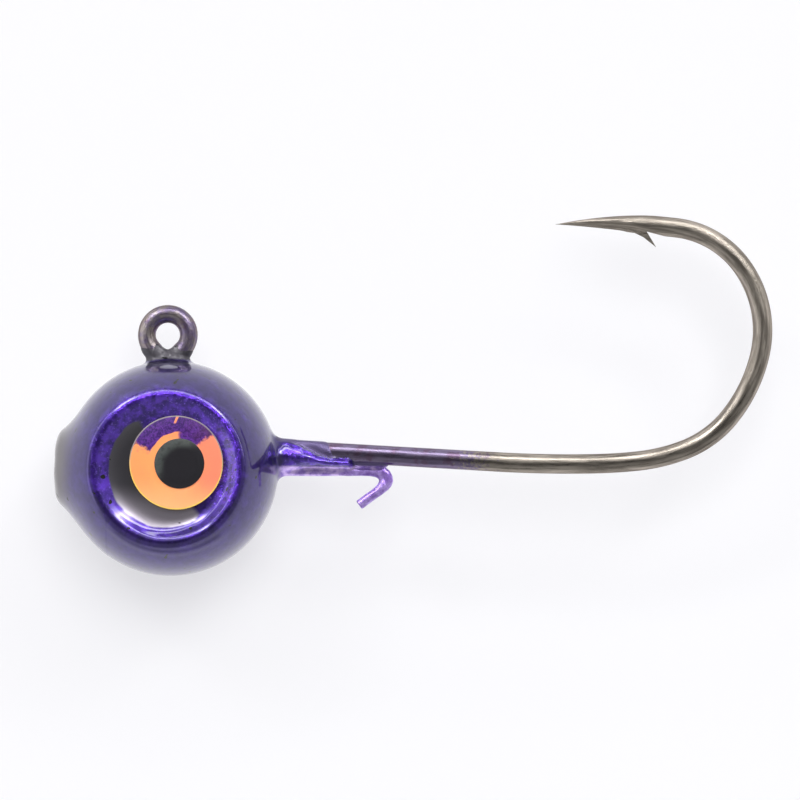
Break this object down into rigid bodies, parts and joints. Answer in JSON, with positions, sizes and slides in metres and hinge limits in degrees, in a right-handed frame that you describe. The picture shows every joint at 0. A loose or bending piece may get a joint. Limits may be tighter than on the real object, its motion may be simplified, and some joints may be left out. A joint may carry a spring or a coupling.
{
  "type": "jig head",
  "caption": "Ball jig head with a right-angle hook, a wire bait keeper, candy paint over the lead and a domed eye set in a round socket on either side.",
  "frame": {"origin": "centre of the flat on the nose, where the casting gate was cut off", "axes": "+X back along the hook shank towards the bend, +Z towards the line tie and the hook point, -Y the left side"},
  "size_m": [0.0458, 0.01, 0.0251],
  "materials": {
    "black_nickel": "polished black nickel plate with a bronze tint, stained purple over the front of the shank",
    "painted_wire": "thin glossy translucent purple over bright wire",
    "lead": "dull cast lead",
    "candy_paint": "glossy translucent purple over a bright metallic base",
    "adhesive": "thin adhesive pad",
    "holographic_foil": "orange to pink holographic film with a mottled purple patch",
    "pupil_ink": "glossy black print",
    "clear_resin": "clear domed resin"
  },
  "bodies": {
    "root": {"hook": "black_nickel", "keeper_wire": "painted_wire", "lead_head": "lead", "paint_coat": "candy_paint", "left_eye_adhesive": "adhesive", "left_eye_foil": "holographic_foil", "left_eye_pupil": "pupil_ink", "left_eye_dome": "clear_resin", "right_eye_adhesive": "adhesive", "right_eye_foil": "holographic_foil", "right_eye_pupil": "pupil_ink", "right_eye_dome": "clear_resin"}
  },
  "joints": []
}
